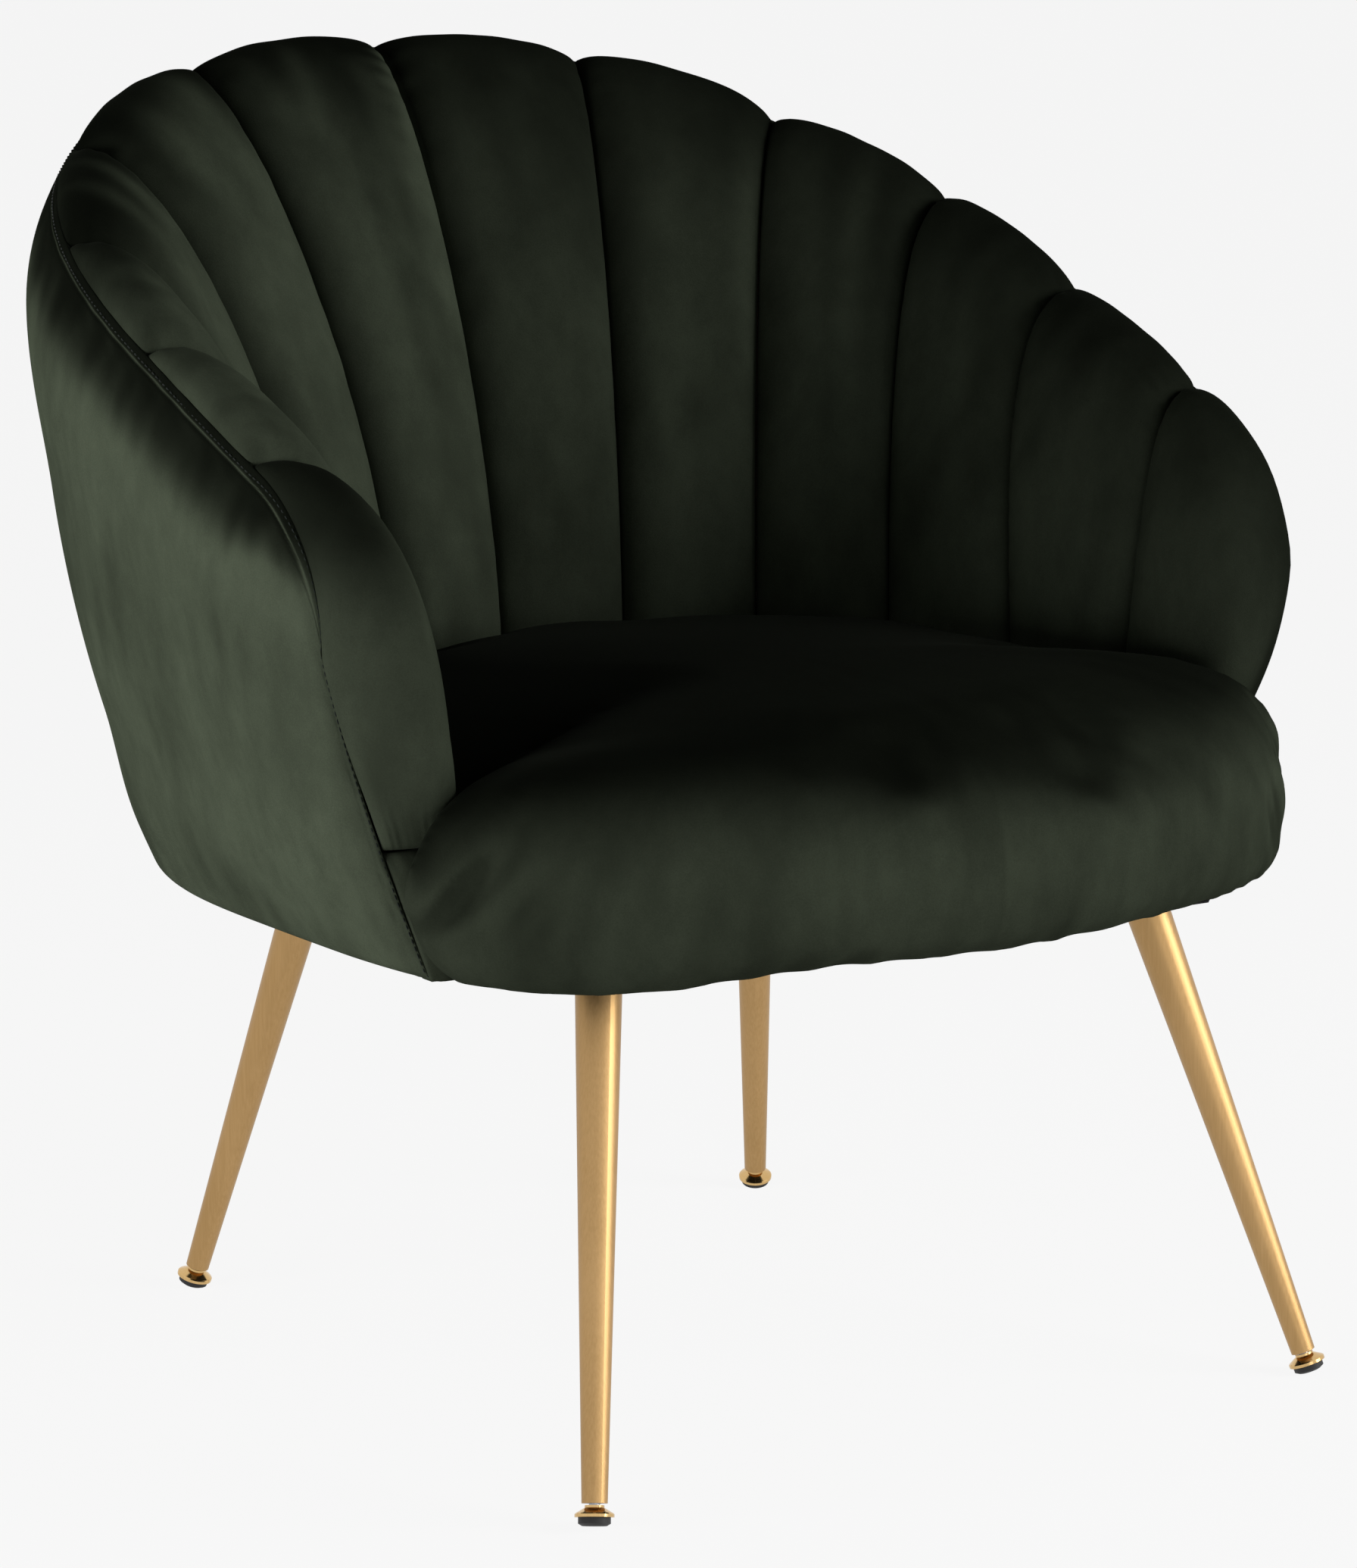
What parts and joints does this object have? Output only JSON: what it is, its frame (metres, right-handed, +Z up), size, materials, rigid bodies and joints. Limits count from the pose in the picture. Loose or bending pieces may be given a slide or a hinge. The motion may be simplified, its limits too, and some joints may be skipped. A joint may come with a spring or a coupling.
{
  "type": "upholstered tub armchair",
  "caption": "Tub armchair with a fluted velvet shell back sloping into low arms, a tight rounded seat and splayed tapered brass legs on screw glides.",
  "frame": {"origin": "on the floor, below the middle of the chair's plan box", "axes": "+Z up, -Y the way the sitter faces, +X to the right as seen from the front"},
  "size_m": [0.6834, 0.688, 0.7419],
  "materials": {
    "velvet": "dark green velvet pile",
    "brass_satin": "satin brushed",
    "brass_polished": "polished",
    "rubber_black": "matte",
    "steel_zinc": "zinc plated",
    "timber": "sawn",
    "board": "raw board",
    "felt": "felt",
    "dust_cloth": "thin woven cloth"
  },
  "bodies": {
    "chair": {"arm_gusset_left": "velvet", "arm_gusset_right": "velvet", "back_channel_01": "velvet", "back_channel_02": "velvet", "back_channel_03": "velvet", "back_channel_04": "velvet", "back_channel_05": "velvet", "back_channel_06": "velvet", "back_channel_07": "velvet", "back_channel_08": "velvet", "back_channel_09": "velvet", "back_channel_10": "velvet", "back_channel_11": "velvet", "back_channel_12": "velvet", "back_lining": "board", "base_board": "board", "corner_blocks": "timber", "dust_cover": "dust_cloth", "front_rail": "timber", "leg_front_left": "brass_satin", "leg_front_right": "brass_satin", "leg_nuts": "steel_zinc", "leg_plates": "steel_zinc", "leg_rear_left": "brass_satin", "leg_rear_right": "brass_satin", "outer_cover": "velvet", "plate_screws": "steel_zinc", "rear_rail": "timber", "rim_hoop": "timber", "seat_cushion": "velvet", "seat_front_border": "velvet", "seat_springs": "steel_zinc", "side_rail_left": "timber", "side_rail_right": "timber", "spring_clips": "steel_zinc", "spring_felt": "felt", "upright_arm_left": "timber", "upright_arm_right": "timber", "upright_back_left": "timber", "upright_back_middle": "timber", "upright_back_right": "timber"},
    "stud_front_left": {"glide_stud_front_left": "steel_zinc"},
    "foot_front_left": {"glide_cap_front_left": "brass_polished", "glide_pad_front_left": "rubber_black"},
    "stud_front_right": {"glide_stud_front_right": "steel_zinc"},
    "foot_front_right": {"glide_cap_front_right": "brass_polished", "glide_pad_front_right": "rubber_black"},
    "stud_rear_left": {"glide_stud_rear_left": "steel_zinc"},
    "foot_rear_left": {"glide_cap_rear_left": "brass_polished", "glide_pad_rear_left": "rubber_black"},
    "stud_rear_right": {"glide_stud_rear_right": "steel_zinc"},
    "foot_rear_right": {"glide_cap_rear_right": "brass_polished", "glide_pad_rear_right": "rubber_black"}
  },
  "joints": [
    {"name": "glide_slide_front_left", "type": "slide", "parent": "chair", "child": "stud_front_left", "axis": [-0.2036, -0.2983, -0.9325], "range_m": [0, 0.008]},
    {"name": "glide_turn_front_left", "type": "hinge", "parent": "stud_front_left", "child": "foot_front_left", "pos_m": [-0.2406, -0.3083, 0.01329], "axis": [-0.2036, -0.2983, -0.9325], "range_deg": [0, 2880]},
    {"name": "glide_slide_front_right", "type": "slide", "parent": "chair", "child": "stud_front_right", "axis": [0.2036, -0.2983, -0.9325], "range_m": [0, 0.008]},
    {"name": "glide_turn_front_right", "type": "hinge", "parent": "stud_front_right", "child": "foot_front_right", "pos_m": [0.2406, -0.3083, 0.01329], "axis": [0.2036, -0.2983, -0.9325], "range_deg": [0, 2880]},
    {"name": "glide_slide_rear_left", "type": "slide", "parent": "chair", "child": "stud_rear_left", "axis": [-0.1762, 0.2496, -0.9522], "range_m": [0, 0.008]},
    {"name": "glide_turn_rear_left", "type": "hinge", "parent": "stud_rear_left", "child": "foot_rear_left", "pos_m": [-0.2047, 0.1962, 0.01316], "axis": [-0.1762, 0.2496, -0.9522], "range_deg": [0, 2880]},
    {"name": "glide_slide_rear_right", "type": "slide", "parent": "chair", "child": "stud_rear_right", "axis": [0.1762, 0.2496, -0.9522], "range_m": [0, 0.008]},
    {"name": "glide_turn_rear_right", "type": "hinge", "parent": "stud_rear_right", "child": "foot_rear_right", "pos_m": [0.2047, 0.1962, 0.01316], "axis": [0.1762, 0.2496, -0.9522], "range_deg": [0, 2880]}
  ],
  "couplings": [
    {"joint": "glide_slide_front_left", "follows": "glide_turn_front_left", "m_per_rad": 0.000159},
    {"joint": "glide_slide_front_right", "follows": "glide_turn_front_right", "m_per_rad": 0.000159},
    {"joint": "glide_slide_rear_left", "follows": "glide_turn_rear_left", "m_per_rad": 0.000159},
    {"joint": "glide_slide_rear_right", "follows": "glide_turn_rear_right", "m_per_rad": 0.000159}
  ]
}
